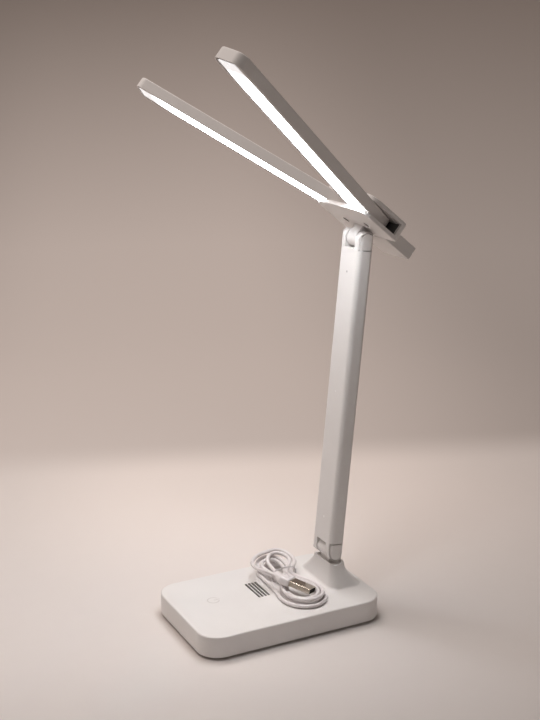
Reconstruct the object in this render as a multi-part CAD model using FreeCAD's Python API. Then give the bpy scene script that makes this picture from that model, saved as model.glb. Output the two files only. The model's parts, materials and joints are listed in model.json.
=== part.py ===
"""Foldable two-bar desk lamp: base with pedestal, hinged post, head bracket, light bars, tied lead.

Millimetres, +Z up. The origin is the centre of the base on the plane that its feet stand on. The lamp
faces -Y, the post stands at the rear (+Y), and +X is to the right, seen from the front.
"""
import FreeCAD, Part
import math
import os

from FreeCAD import Placement, Rotation, Vector

# Base
BASE_LENGTH = 160.0
BASE_WIDTH = 104.0
BASE_TOP = 19.4
BASE_CORNER = 18.0
BASE_WALL = 2.2
BASE_EDGE = 1.2
FOOT_HEIGHT = 2.1
FOOT_RADIUS = 6.0
FOOT_RECESS = 0.8
FOOT_X = 37.0
FOOT_Y = 58.0
COVER_THICK = 2.0
FIT_GAP = 0.15
BOSS_X = 40.0
BOSS_Y = 68.0
BOSS_RADIUS = 3.2
SCREW_RADIUS = 1.2
SCREW_HEAD_RADIUS = 2.4
SCREW_HEAD = 1.1
SCREW_DRIVE = 0.6

# Marks and slots in the base top
MARK_X = -8.0
MARK_Y = -46.5
MARK_RADIUS = 5.2
MARK_LINE = 1.0
MARK_DEPTH = 0.3
SLOT_X = -9.2
SLOT_Y = -6.1
SLOT_LENGTH = 27.5
SLOT_WIDTH = 2.0
SLOT_PITCH = 2.87
SLOT_COUNT = 4
BACKING_DEPTH = 0.7

# Pedestal on the base's rear end
PEDESTAL_TOP = 39.4
PEDESTAL_TROUGH = 9.9
PEDESTAL_TOP_SIDES = (-15.4, 16.0, 49.8, 63.2)
PEDESTAL_FOOT_SIDES = (-35.0, 22.0, 46.5, 76.8)
PEDESTAL_FLARES = (1.25, 1.4, 1.4, 1.9)
PEDESTAL_CORNER_TOP = 4.0
PEDESTAL_CORNER_FOOT = 8.0
PEDESTAL_FILLET = 2.4
WELL_HALF = 13.4
WELL_FRONT = 51.4
WELL_REAR = 61.6
WELL_FLOOR = 37.0
POCKET_TOP = 36.0
POCKET_HALF = 10.0
POCKET_FRONT = 53.0
POCKET_REAR = 62.0

# Pieces inside the base
WEIGHT_HALF = 34.0
WEIGHT_FRONT = -74.0
WEIGHT_REAR = 22.0
WEIGHT_THICK = 3.4
BATTERY_WIDTH = 66.0
BATTERY_LENGTH = 46.0
BATTERY_THICK = 6.6
BATTERY_Y = -40.0
BATTERY_TAB = 4.0
BOARD_FLOOR = 6.0
BOARD_THICK = 1.6
BOARD_HALF = 28.0
BOARD_FRONT = 30.0
BOARD_REAR = 71.0
BOARD_TONGUE = 6.0
BOARD_POST_RADIUS = 2.2
WIRE_PLUG_FRONT = 32.0
WIRE_PLUG = (8.0, 5.0, 4.5)
WIRE_RADIUS = 0.6
PORT_WIDTH = 9.0
PORT_HEIGHT = 3.2
PORT_DEPTH = 7.4
PORT_REAR = 79.4
ELECTRODE_RADIUS = 8.0
ELECTRODE_THICK = 0.6

# Post and its two hinges
LOW_AXIS_Y = 54.95
LOW_AXIS_Z = 48.3
POST_LEAN = 5.2
POST_LENGTH = 258.8
POST_WIDTH = 29.0
POST_THICK = 13.4
POST_EDGE = 3.6
POST_WALL = 2.2
CAVITY_START = 14.0
NOTCH_HALF = 7.2
NOTCH_DEPTH = 7.5
TONGUE_HALF = 6.3
TONGUE_RADIUS = 6.3
TONGUE_FRONT = 52.3
TONGUE_REAR = 60.4
TONGUE_FLANGE = 3.0
PIN_RADIUS = 2.5
RUNNING_GAP = 0.05
WASHER_RADIUS = 5.2
WASHER_THICK = 0.5
CAP_HALF = 5.5
CAP_REACH = 7.4
CAP_DEPTH = 1.4
CAP_GROOVE = 0.8
CAP_GROOVE_DEPTH = 3.2
BACK_HALF = 9.8
BACK_THICK = 1.4
BACK_LEDGE = 1.4
BACK_LIP = 1.6
CORE_HALF = 10.5
CORE_THICK = 1.0
HARNESS_RADIUS = 1.4

# Head bracket, in its own frame: the upper hinge axis is its origin and its front is -y
HEAD_PITCH = 38.7
UNDERSIDE = 9.1
PLATE_THICK = 3.3
COVER_PLATE = 3.2
COVER_ROUND = 4.0
STOP_PAD = 0.8
PIVOT_X = 15.2
PIVOT_AHEAD = 9.4
BRACKET_HALF = 36.0
BRACKET_FRONT = 22.8
BRACKET_REAR = 18.6
BRACKET_BOW = 1.4
BRACKET_CORNER = 9.0
BRACKET_REAR_CORNER = 3.0
REAR_WALL = 5.0
TAB_HALF = 19.0
TAB_LENGTH = 30.0
TAB_THICK = 11.0
TENON_HALF = 12.0
TENON_DEEP = 3.0
TENON_THICK = 5.0
TENON_LIFT = 0.8
PIVOT_SCREW_RADIUS = 1.35
PIVOT_SEAT_RADIUS = 2.7
PIVOT_SEAT_DEPTH = 2.3
LUG_POCKET_DEEP = 3.5
LUG_POCKET_HALF = 4.8
LUG_POCKET_FLOOR = 4.2
SLEEVE_RADIUS = 5.0

# Light bars, in their own frame: the pivot is the origin and the bar runs along -y
BAR_LENGTH = 211.0
BAR_WIDTH = 26.4
BAR_THICK = 8.8
BAR_TIP_CORNER = 7.0
BAR_EDGE = 1.0
BAR_WALL = 1.0
BAR_CLEAR = 0.4
LIT_START = 19.5
GROOVE = 1.6
DIFFUSER_RECESS = 0.1
DIFFUSER_THICK = 1.6
GUIDE_THICK = 2.4
GUIDE_INSET = 4.2
REFLECTOR_THICK = 0.4
STRIP_THICK = 0.8
STRIP_GAP = 1.2
EMITTER_COUNT = 14
EMITTER_LENGTH = 2.8
SWING_LEFT = 45.0
SWING_RIGHT = 19.5

# Charging lead, tied in a bow-shaped hank on the base
LEAD_DIAMETER = 3.2
LEAD_STEP = 4.0
LAYER_STEP = 4.3
HANK_X = -11.0
HANK_Y = 20.5
HANK_RIGHT = 53.0
HANK_LEFT = 40.0
HANK_SPAN = 49.0
HANK_WAIST = 9.0
HANK_LOOPS = 4
HANK_START_DEG = -50.0
HANK_END_DEG = -165.0
HANK_LIFT_DEG = 15.0
HANK_FAN_DEG = 26.0
HANK_LIFT_BLEND = 7.5
POINTS_PER_LOOP = 20
CHARGER_PLUG_END = Vector(27.0, 25.5, 27.0)
CHARGER_PLUG_TURN = 35.0
CHARGER_PLUG_DIP = 10.5
CHARGER_PLUG_ROLL = -12.0
CHARGER_SHELL = (19.0, 12.0, 4.5)
CHARGER_GRIP = (18.0, 15.0, 7.4)
LAMP_PLUG_REAR = Vector(-40.0, 15.5, 21.2)
LAMP_PLUG_TURN = 106.0
LAMP_GRIP = (14.0, 10.2, 5.4)
LAMP_SHELL = (6.6, 8.3, 2.5)
PLUG_SLEEVE = 0.7
PLUG_WALL = 0.35
OVAL_END = 0.98
LATCH_AHEAD = 10.0
LATCH_SIZE = 2.4
LATCH_Y = 2.9
TIE_Y = 19.9
TIE_HALF = 10.4
TIE_LOW = 20.4
TIE_HIGH = 32.2
TIE_WIDTH = 1.4
TIE_THICK = 0.8

# Places that follow from the sizes above
SHELL_FLOOR = FOOT_HEIGHT
INNER_TOP = BASE_TOP - BASE_WALL
COVER_TOP = SHELL_FLOOR + COVER_THICK
WEIGHT_TOP = COVER_TOP + WEIGHT_THICK
BOARD_TOP = BOARD_FLOOR + BOARD_THICK
PORT_MIDDLE = BOARD_TOP + PORT_HEIGHT / 2
BAR_FLOOR = UNDERSIDE + PLATE_THICK + BAR_CLEAR
COVER_FLOOR = BAR_FLOOR + BAR_THICK + BAR_CLEAR
PLATE_TOP = UNDERSIDE + PLATE_THICK
BRACKET_BACK = BRACKET_REAR - PIVOT_AHEAD
BAR_HALF = BAR_WIDTH / 2
LEAD_RADIUS = LEAD_DIAMETER / 2
LEAD_FLOOR = BASE_TOP + 0.2 + LEAD_RADIUS
LAMP_PLUG_LIFT = LAMP_GRIP[2] / 2 - LEAD_RADIUS
WIRE_LEVEL = WEIGHT_TOP + 3.0
TAB_PLACES = (-3.0, 3.0)
CORNERS = [(sx, sy) for sx in (-1, 1) for sy in (-1, 1)]
FOOT_PLACES = [(sx * FOOT_X, sy * FOOT_Y) for sx, sy in CORNERS] + [(0.0, 0.0)]
BOSS_PLACES = [(sx * BOSS_X, sy * BOSS_Y) for sx, sy in CORNERS]
BOARD_POSTS = [(side * 24.0, y) for side in (-1, 1) for y in (34.0, 60.0)]
PIVOT_PLACES = [(side * PIVOT_X, -PIVOT_AHEAD) for side in (-1, 1)]

X_AXIS = Vector(1, 0, 0)
Y_AXIS = Vector(0, 1, 0)
Z_AXIS = Vector(0, 0, 1)
LEAN = math.radians(POST_LEAN)
LOW_AXIS = Vector(0, LOW_AXIS_Y, LOW_AXIS_Z)
TOP_AXIS = LOW_AXIS + Vector(0, math.sin(LEAN), math.cos(LEAN)) * POST_LENGTH
POST_PLACE = Placement(LOW_AXIS, Rotation(X_AXIS, -POST_LEAN))
HEAD_PLACE = Placement(TOP_AXIS, Rotation(X_AXIS, -HEAD_PITCH))


def save(name, shape, place=None):
    """Write one sub-part, moved from its own frame into the lamp's."""
    if place is not None:
        shape = shape.transformed(place.toMatrix(), True)
    shape.exportStep("parts/" + name + ".step")


def rounded_wire(x0, x1, y0, y1, radius, z=0.0):
    """Closed rectangle in the XY plane with four round corners."""
    centres = ((x1 - radius, y1 - radius, 0), (x0 + radius, y1 - radius, 90),
               (x0 + radius, y0 + radius, 180), (x1 - radius, y0 + radius, 270))
    corners = []
    for cx, cy, start in centres:
        angles = [math.radians(start + turn) for turn in (0, 45, 90)]
        corners.append([Vector(cx + radius * math.cos(a), cy + radius * math.sin(a), z) for a in angles])
    edges = []
    for corner, following in zip(corners, corners[1:] + corners[:1]):
        edges.append(Part.Arc(*corner).toShape())
        edges.append(Part.LineSegment(corner[2], following[0]).toShape())
    return Part.Wire(edges)


def slab(x0, x1, y0, y1, z0, z1, radius):
    """Upright block with round vertical edges."""
    return Part.Face(rounded_wire(x0, x1, y0, y1, radius, z0)).extrude(Vector(0, 0, z1 - z0))


def block(x0, x1, y0, y1, z0, z1):
    """Plain block between two corners."""
    return Part.makeBox(x1 - x0, y1 - y0, z1 - z0, Vector(x0, y0, z0))


def rod(x, y, z0, z1, radius):
    """Upright cylinder."""
    return Part.makeCylinder(radius, z1 - z0, Vector(x, y, z0), Z_AXIS)


def cross_rod(y, z, half, radius):
    """Cylinder along X, centred on the lamp's middle plane."""
    return Part.makeCylinder(radius, 2 * half, Vector(-half, y, z), X_AXIS)


def fuse_all(shapes):
    """One solid from touching or overlapping solids."""
    return shapes[0].fuse(shapes[1:]).removeSplitter()


def solids_of(shapes):
    """One group of separate solids."""
    return Part.makeCompound([solid for shape in shapes for solid in shape.Solids])


def edges_at(shape, z, tolerance=1e-4):
    """Edges that lie wholly at one height."""
    return [edge for edge in shape.Edges
            if abs(edge.BoundBox.ZMin - z) < tolerance and abs(edge.BoundBox.ZMax - z) < tolerance]


def slotted_screw(x, y, floor, head_radius, radius, top):
    """Screw that points up: flat slotted head from its floor, then the shank."""
    neck = floor + SCREW_HEAD
    body = rod(x, y, floor, neck, head_radius).fuse(rod(x, y, neck, top, radius))
    half = SCREW_DRIVE / 2
    slot = block(x - head_radius, x + head_radius, y - half, y + half, floor, floor + SCREW_DRIVE)
    return body.cut(slot).removeSplitter()


# Base

def base_outline(inset, z0, z1):
    """Base slab drawn in from its outer wall."""
    half_x = BASE_WIDTH / 2 - inset
    half_y = BASE_LENGTH / 2 - inset
    return slab(-half_x, half_x, -half_y, half_y, z0, z1, BASE_CORNER - inset)


def pedestal_section(drop):
    """Rounded rectangle of the pedestal at a part of the way down: each side has its own flare."""
    sides = [top + (foot - top) * drop ** flare
             for top, foot, flare in zip(PEDESTAL_TOP_SIDES, PEDESTAL_FOOT_SIDES, PEDESTAL_FLARES)]
    corner = PEDESTAL_CORNER_TOP + (PEDESTAL_CORNER_FOOT - PEDESTAL_CORNER_TOP) * drop
    return rounded_wire(*sides, corner, PEDESTAL_TOP + (BASE_TOP - PEDESTAL_TOP) * drop)


def pedestal_form():
    """Block with four flared sides, a trough for the post and a well in the trough's floor."""
    body = Part.makeLoft([pedestal_section(drop) for drop in (1, 0.75, 0.5, 0.25, 0)], True, False)
    well = slab(-WELL_HALF, WELL_HALF, WELL_FRONT, WELL_REAR, WELL_FLOOR, LOW_AXIS_Z, 3)
    return body.cut([cross_rod(LOW_AXIS_Y, LOW_AXIS_Z, BASE_WIDTH, PEDESTAL_TROUGH), well])


def pedestal_foot_edges(shell):
    """Edges where the pedestal meets the base top."""
    left, right, front, rear = PEDESTAL_FOOT_SIDES
    inside = FreeCAD.BoundBox(left - 1, front - 1, BASE_TOP - 0.1, right + 1, rear + 1, BASE_TOP + 0.1)
    return [edge for edge in edges_at(shell, BASE_TOP) if inside.isInside(edge.BoundBox)]


def slot_block(index, z0, z1, shrink=0.0):
    """One of the narrow slots across the base top, or the rib that fills it."""
    y = SLOT_Y + (index - (SLOT_COUNT - 1) / 2) * SLOT_PITCH
    half_x, half_y = SLOT_LENGTH / 2 - shrink, SLOT_WIDTH / 2 - shrink
    return slab(SLOT_X - half_x, SLOT_X + half_x, y - half_y, y + half_y, z0, z1, half_y * OVAL_END)


def touch_glyph(z0, z1):
    """Plain on-off sign: an open ring with a stroke in its gap."""
    ring = rod(MARK_X, MARK_Y, z0, z1, MARK_RADIUS)
    ring = ring.cut(rod(MARK_X, MARK_Y, z0, z1, MARK_RADIUS - MARK_LINE))
    gap = 2 * MARK_LINE
    ring = ring.cut(block(MARK_X - gap, MARK_X + gap, MARK_Y, MARK_Y + 2 * MARK_RADIUS, z0, z1))
    half = MARK_LINE / 2
    stroke = block(MARK_X - half, MARK_X + half, MARK_Y + half, MARK_Y + MARK_RADIUS + half, z0, z1)
    return solids_of([ring, stroke])


def port_mouth(y0, y1, grow):
    """Flat oval opening of the charging socket, along Y."""
    half_x = PORT_WIDTH / 2 + grow
    half_z = PORT_HEIGHT / 2 + grow
    face = Part.Face(rounded_wire(-half_x, half_x, -half_z, half_z, half_z * OVAL_END))
    solid = face.extrude(Vector(0, 0, y1 - y0))
    return solid.transformed(Placement(Vector(0, y1, PORT_MIDDLE), Rotation(X_AXIS, 90)).toMatrix(), True)


def base_upper_shell():
    """Top half of the base with its pedestal, hollow underneath."""
    outer = base_outline(0, SHELL_FLOOR, BASE_TOP)
    outer = outer.makeFillet(BASE_EDGE, edges_at(outer, BASE_TOP))
    outer = outer.makeFillet(BASE_EDGE / 2, edges_at(outer, SHELL_FLOOR))
    shell = outer.cut(base_outline(BASE_WALL, 0, INNER_TOP))
    shell = shell.fuse(pedestal_form()).removeSplitter()
    shell = shell.makeFillet(PEDESTAL_FILLET, pedestal_foot_edges(shell))
    shell = shell.fuse([rod(x, y, COVER_TOP, BASE_TOP - 1, BOSS_RADIUS) for x, y in BOSS_PLACES])
    throat = TONGUE_HALF + FIT_GAP
    cuts = [
        block(-POCKET_HALF, POCKET_HALF, POCKET_FRONT, POCKET_REAR, 0, POCKET_TOP),
        block(-throat, throat, TONGUE_FRONT - FIT_GAP, TONGUE_REAR + FIT_GAP, POCKET_TOP, LOW_AXIS_Z),
        touch_glyph(BASE_TOP - MARK_DEPTH, LOW_AXIS_Z),
        port_mouth(BOARD_REAR, BASE_LENGTH, FIT_GAP),
    ]
    cuts += [slot_block(index, 0, LOW_AXIS_Z) for index in range(SLOT_COUNT)]
    cuts += [rod(x, y, 0, INNER_TOP - 1, SCREW_RADIUS + RUNNING_GAP) for x, y in BOSS_PLACES]
    return shell.cut(cuts).removeSplitter()


def base_bottom_cover():
    """Flat cover inside the shell's rim, with foot recesses, screw seats and board posts."""
    cover = base_outline(BASE_WALL + FIT_GAP, SHELL_FLOOR, COVER_TOP)
    cover = cover.fuse([rod(x, y, COVER_TOP, BOARD_FLOOR, BOARD_POST_RADIUS) for x, y in BOARD_POSTS])
    cuts = [rod(x, y, 0, SHELL_FLOOR + FOOT_RECESS, FOOT_RADIUS + FIT_GAP) for x, y in FOOT_PLACES]
    for x, y in BOSS_PLACES:
        cuts.append(rod(x, y, 0, SHELL_FLOOR + SCREW_HEAD + 0.1, SCREW_HEAD_RADIUS + FIT_GAP))
        cuts.append(rod(x, y, 0, BASE_TOP, SCREW_RADIUS + RUNNING_GAP))
    return cover.cut(cuts).removeSplitter()


def rubber_feet():
    """Round pads set into the bottom cover, one near each corner and one in the middle."""
    feet = []
    for x, y in FOOT_PLACES:
        foot = rod(x, y, 0, SHELL_FLOOR + FOOT_RECESS, FOOT_RADIUS)
        feet.append(foot.makeFillet(0.6, edges_at(foot, 0)))
    return solids_of(feet)


def base_screws():
    """Four screws that hold the bottom cover to the shell's bosses."""
    floor = SHELL_FLOOR + 0.1
    top = INNER_TOP - 2
    return solids_of([slotted_screw(x, y, floor, SCREW_HEAD_RADIUS, SCREW_RADIUS, top)
                      for x, y in BOSS_PLACES])


def counterweight_plate():
    """Steel plate on the bottom cover that keeps the lamp upright."""
    return slab(-WEIGHT_HALF, WEIGHT_HALF, WEIGHT_FRONT, WEIGHT_REAR, COVER_TOP, WEIGHT_TOP, 4)


def battery_pack():
    """Flat rechargeable cell on the counterweight, with its two tabs to the rear."""
    half_x, half_y = BATTERY_WIDTH / 2, BATTERY_LENGTH / 2
    rear = BATTERY_Y + half_y
    cell = slab(-half_x, half_x, BATTERY_Y - half_y, rear, WEIGHT_TOP, WEIGHT_TOP + BATTERY_THICK, 3)
    low, high = WIRE_LEVEL - 0.8, WIRE_LEVEL + 0.8
    tabs = [block(x - 1.5, x + 1.5, rear, rear + BATTERY_TAB, low, high) for x in TAB_PLACES]
    return fuse_all([cell] + tabs)


def control_board():
    """Circuit board for charging, dimming and touch sensing, with its larger components."""
    plug_half = WIRE_PLUG[0] / 2
    plug_rear = WIRE_PLUG_FRONT + WIRE_PLUG[1]
    return fuse_all([
        slab(-BOARD_HALF, BOARD_HALF, BOARD_FRONT, BOARD_REAR, BOARD_FLOOR, BOARD_TOP, 2),
        block(-8, 8, BOARD_REAR, BOARD_REAR + BOARD_TONGUE, BOARD_FLOOR, BOARD_TOP),
        block(-plug_half, plug_half, WIRE_PLUG_FRONT, plug_rear, BOARD_TOP, BOARD_TOP + WIRE_PLUG[2]),
        block(-20, -12, 40, 48, BOARD_TOP, BOARD_TOP + 1.4),
        block(12, 17, 40, 46, BOARD_TOP, BOARD_TOP + 1.6),
        rod(18, 56, BOARD_TOP, BOARD_TOP + 3.2, 3.5),
        rod(-18, 56, BOARD_TOP, BOARD_TOP + 5.0, 2.5),
    ])


def charging_port():
    """Oval metal socket on the board's rear edge, open to the rear, with its contact tongue."""
    front = PORT_REAR - PORT_DEPTH
    shell = port_mouth(front, PORT_REAR, 0).cut(port_mouth(front + 1.2, BASE_LENGTH, -PLUG_WALL))
    tongue = block(-3.3, 3.3, front + 0.8, PORT_REAR - 0.8, PORT_MIDDLE - 0.35, PORT_MIDDLE + 0.35)
    return fuse_all([shell, tongue])


def touch_electrode():
    """Foil disc under the touch mark with its wire post."""
    floor = INNER_TOP - ELECTRODE_THICK
    disc = rod(MARK_X, MARK_Y, floor, INNER_TOP, ELECTRODE_RADIUS)
    return fuse_all([disc, rod(MARK_X, MARK_Y, floor - 1.6, floor, 1.2)])


def base_wires():
    """Two battery wires and the touch wire, each to the board's plug."""
    battery_rear = BATTERY_Y + BATTERY_LENGTH / 2 + BATTERY_TAB
    length = WIRE_PLUG_FRONT - battery_rear
    wires = [Part.makeCylinder(WIRE_RADIUS, length, Vector(x, battery_rear, WIRE_LEVEL), Y_AXIS)
             for x in TAB_PLACES]
    high = INNER_TOP - ELECTRODE_THICK - 0.8
    route = [Vector(MARK_X, MARK_Y + 1.2, high), Vector(MARK_X, MARK_Y + 6, high),
             Vector(-7, -24, high - 0.4), Vector(-3, -2, high - 1.6), Vector(0, 16, WIRE_LEVEL + 0.8),
             Vector(0, 26, WIRE_LEVEL), Vector(0, WIRE_PLUG_FRONT, WIRE_LEVEL)]
    wires.append(round_tube(route, WIRE_RADIUS))
    return solids_of(wires)


def touch_mark():
    """Sign set flush into the base top."""
    return touch_glyph(BASE_TOP - MARK_DEPTH, BASE_TOP)


def vent_backing():
    """Dark mesh plate behind the slots, with a rib that stands in each of them."""
    half_x = SLOT_LENGTH / 2 + 3
    half_y = SLOT_COUNT * SLOT_PITCH / 2 + 2
    front, rear = SLOT_Y - half_y, SLOT_Y + half_y
    plate = slab(SLOT_X - half_x, SLOT_X + half_x, front, rear, INNER_TOP - 1, INNER_TOP, 2)
    low, high = INNER_TOP - 1, BASE_TOP - BACKING_DEPTH
    ribs = [slot_block(index, low, high, FIT_GAP) for index in range(SLOT_COUNT)]
    return fuse_all([plate] + ribs)


def lower_hinge_tongue():
    """Hinge tongue that is held in the pedestal by its flange and carries the post's pin."""
    half = POCKET_HALF - 0.3
    floor = POCKET_TOP - TONGUE_FLANGE
    body = fuse_all([
        block(-half, half, POCKET_FRONT + 0.3, POCKET_REAR - 0.3, floor, POCKET_TOP),
        block(-TONGUE_HALF, TONGUE_HALF, TONGUE_FRONT, TONGUE_REAR, POCKET_TOP, LOW_AXIS_Z),
        cross_rod(LOW_AXIS_Y, LOW_AXIS_Z, TONGUE_HALF, TONGUE_RADIUS),
    ])
    return body.cut(cross_rod(LOW_AXIS_Y, LOW_AXIS_Z, BASE_WIDTH, PIN_RADIUS + RUNNING_GAP))


# Post, in its own frame: lower hinge axis at the origin, y to the rear, z along the post

def post_form():
    """Full outer form: a rounded bar whose ends are round about the two hinge axes."""
    half_x, half_y = POST_WIDTH / 2, POST_THICK / 2
    prism = slab(-half_x, half_x, -half_y, half_y, -half_y - 1, POST_LENGTH + half_y + 1, POST_EDGE)
    middle = block(-half_x - 1, half_x + 1, -half_y, half_y, 0, POST_LENGTH)
    ends = [cross_rod(0, z, half_x + 1, half_y) for z in (0, POST_LENGTH)]
    return prism.common(fuse_all([middle] + ends))


def cap_prism(end, side, grow, depth=CAP_DEPTH):
    """Prism of a hinge cap: round about the hinge axis outside, straight across inside."""
    length = depth + 1
    radius = CAP_HALF + grow
    reach = CAP_REACH + grow
    x0 = POST_WIDTH / 2 - depth if side > 0 else -POST_WIDTH / 2 - 1
    axis = 0 if end < 0 else POST_LENGTH
    z0 = axis if end < 0 else axis - reach
    disc = Part.makeCylinder(radius, length, Vector(x0, 0, axis), X_AXIS)
    return fuse_all([disc, block(x0, x0 + length, -radius, radius, z0, z0 + reach)])


def cap_groove(end, side):
    """Fine groove round a hinge cap."""
    outer = cap_prism(end, side, CAP_GROOVE, CAP_GROOVE_DEPTH)
    return outer.cut(cap_prism(end, side, 0, CAP_GROOVE_DEPTH))


def post_channel():
    """Front and sides of the post with the hinge ears at both ends."""
    half_x, half_y = POST_WIDTH / 2, POST_THICK / 2
    z0, z1 = CAVITY_START, POST_LENGTH - CAVITY_START
    inner_x, inner_y = half_x - POST_WALL, half_y - POST_WALL
    window = BACK_HALF - BACK_LEDGE
    seat = BACK_HALF + 0.1
    low, high = NOTCH_DEPTH, POST_LENGTH - NOTCH_DEPTH
    cuts = [
        block(-NOTCH_HALF, NOTCH_HALF, -half_x, half_x, -half_x, low),
        block(-NOTCH_HALF, NOTCH_HALF, -half_x, half_x, high, high + POST_WIDTH),
        block(-inner_x, inner_x, -inner_y, inner_y, z0, z1),
        block(-window, window, 0, POST_WIDTH, z0, z1),
        block(-seat, seat, half_y - BACK_THICK, POST_WIDTH, z0 - 1.1, z1 + 1.1),
        rod(0, 0, 0, POST_LENGTH, HARNESS_RADIUS + 0.4),
        cross_rod(0, 0, POST_WIDTH, PIN_RADIUS),
        cross_rod(0, POST_LENGTH, POST_WIDTH, PIN_RADIUS),
    ]
    cuts += [cap_prism(end, side, 0) for end, side in CORNERS]
    cuts += [cap_groove(end, side) for end, side in CORNERS]
    return post_form().cut(cuts).removeSplitter()


def hinge_caps(end):
    """Pair of flush caps over one hinge pin."""
    return solids_of([post_form().common(cap_prism(end, side, 0)) for side in (-1, 1)])


def post_back_cover():
    """Flat strip with two inner lips that closes the post's rear."""
    seat = POST_THICK / 2 - BACK_THICK
    z0, z1 = CAVITY_START - 1, POST_LENGTH - CAVITY_START + 1
    strip = block(-BACK_HALF, BACK_HALF, seat, POST_THICK / 2, z0, z1)
    lip_x = BACK_HALF - BACK_LEDGE - 0.8
    lips = [block(x - 0.7, x + 0.7, seat - BACK_LIP, seat, z0 + 4, z1 - 4) for x in (-lip_x, lip_x)]
    return fuse_all([strip] + lips)


def post_core_strip():
    """Steel strip that stiffens the post behind its front wall."""
    y0 = POST_WALL - POST_THICK / 2
    z0, z1 = CAVITY_START + 1, POST_LENGTH - CAVITY_START - 1
    return block(-CORE_HALF, CORE_HALF, y0, y0 + CORE_THICK, z0, z1)


def post_harness():
    """Wire bundle between the base and the head, straight through the post."""
    return rod(0, 0, NOTCH_DEPTH + 0.6, POST_LENGTH - NOTCH_DEPTH - 0.6, HARNESS_RADIUS)


def hinge_pin(axis):
    """Steel pin through both ears and the tongue between them."""
    return cross_rod(0, axis, POST_WIDTH / 2 - CAP_DEPTH - 0.1, PIN_RADIUS)


def hinge_washers(axis):
    """Pair of friction washers between the ears and the tongue."""
    pair = [Part.makeCylinder(WASHER_RADIUS, WASHER_THICK, Vector(x, 0, axis), X_AXIS)
            for x in (-NOTCH_HALF, NOTCH_HALF - WASHER_THICK)]
    return solids_of([disc.cut(cross_rod(0, axis, POST_WIDTH, PIN_RADIUS)) for disc in pair])


# Head bracket

def bracket_outline(z0, z1):
    """Bracket plate: straight sides, round corners and a slightly bowed front edge."""
    front = -BRACKET_FRONT - PIVOT_AHEAD
    body = slab(-BRACKET_HALF, BRACKET_HALF, front - 10, BRACKET_BACK, z0, z1, BRACKET_REAR_CORNER)
    radius = (BRACKET_HALF ** 2 + BRACKET_BOW ** 2) / (2 * BRACKET_BOW)
    body = body.common(rod(0, front + radius, z0, z1, radius))
    corners = [edge for edge in body.Edges
               if edge.BoundBox.ZLength > (z1 - z0) * 0.9 and edge.BoundBox.YMax < front + BRACKET_CORNER]
    return body.makeFillet(BRACKET_CORNER, corners)


def bracket_lower_plate():
    """Lower plate with the hinge lug, hollowed from both sides, that hangs between the post's ears."""
    plate = bracket_outline(UNDERSIDE, PLATE_TOP)
    plate = plate.makeFillet(0.8, edges_at(plate, UNDERSIDE))
    body = plate.fuse([
        cross_rod(0, 0, TONGUE_HALF, TONGUE_RADIUS),
        block(-TONGUE_HALF, TONGUE_HALF, -TONGUE_RADIUS, TONGUE_RADIUS, 0, PLATE_TOP - 1),
    ])
    cuts = [cross_rod(0, 0, BRACKET_HALF, PIN_RADIUS + RUNNING_GAP)]
    half = LUG_POCKET_HALF
    for x in (-TONGUE_HALF, TONGUE_HALF - LUG_POCKET_DEEP):
        cuts.append(block(x, x + LUG_POCKET_DEEP, -half, half, LUG_POCKET_FLOOR, UNDERSIDE))
    for x, y in PIVOT_PLACES:
        cuts.append(rod(x, y, 0, UNDERSIDE + PIVOT_SEAT_DEPTH, PIVOT_SEAT_RADIUS))
        cuts.append(rod(x, y, 0, COVER_FLOOR, PIVOT_SCREW_RADIUS + RUNNING_GAP))
    return body.cut(cuts).removeSplitter()


def tenon_block(grow, rear):
    """Tenon by which the grip tab is held in the bracket's rear wall."""
    floor = PLATE_TOP + TENON_LIFT
    half = TENON_HALF + grow
    return block(-half, half, BRACKET_BACK - TENON_DEEP, rear, floor, floor + TENON_THICK)


def bracket_upper_cover():
    """Upper plate with the rear wall that joins it to the lower plate."""
    top = COVER_FLOOR + COVER_PLATE
    plate = bracket_outline(COVER_FLOOR, top)
    plate = plate.makeFillet(0.7, edges_at(plate, top))
    half = BRACKET_HALF
    wall = slab(-half, half, -half, BRACKET_BACK, PLATE_TOP, COVER_FLOOR, BRACKET_REAR_CORNER)
    wall = wall.cut(block(-half, half, -half, BRACKET_BACK - REAR_WALL, PLATE_TOP, COVER_FLOOR))
    round_y, round_z = BRACKET_BACK - COVER_ROUND, top - COVER_ROUND
    corner = block(-half, half, round_y, half, round_z, top)
    corner = corner.cut(cross_rod(round_y, round_z, half, COVER_ROUND))
    return plate.fuse(wall).cut([corner, tenon_block(0.1, half), head_stop_pad()]).removeSplitter()


def head_stop_pad():
    """Dark strip let into the rear wall, against which the bars' tails come to rest."""
    half = BRACKET_HALF - BRACKET_REAR_CORNER
    front = BRACKET_BACK - REAR_WALL
    return block(-half, half, front, front + STOP_PAD, PLATE_TOP + FIT_GAP, COVER_FLOOR - FIT_GAP)


def rear_tab():
    """Grip tab behind the bracket, by which the head is tilted."""
    rear = BRACKET_BACK + TAB_LENGTH
    top = UNDERSIDE + TAB_THICK
    tab = slab(-TAB_HALF, TAB_HALF, BRACKET_BACK - 5, rear, UNDERSIDE, top, 2)
    tab = tab.cut(block(-TAB_HALF, TAB_HALF, BRACKET_BACK - 5, BRACKET_BACK, UNDERSIDE, top))
    rims = edges_at(tab, UNDERSIDE) + edges_at(tab, top)
    tab = tab.makeFillet(0.8, [edge for edge in rims if edge.BoundBox.YMax > BRACKET_BACK + 0.1])
    return fuse_all([tab, tenon_block(0, BRACKET_BACK + 1)])


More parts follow.
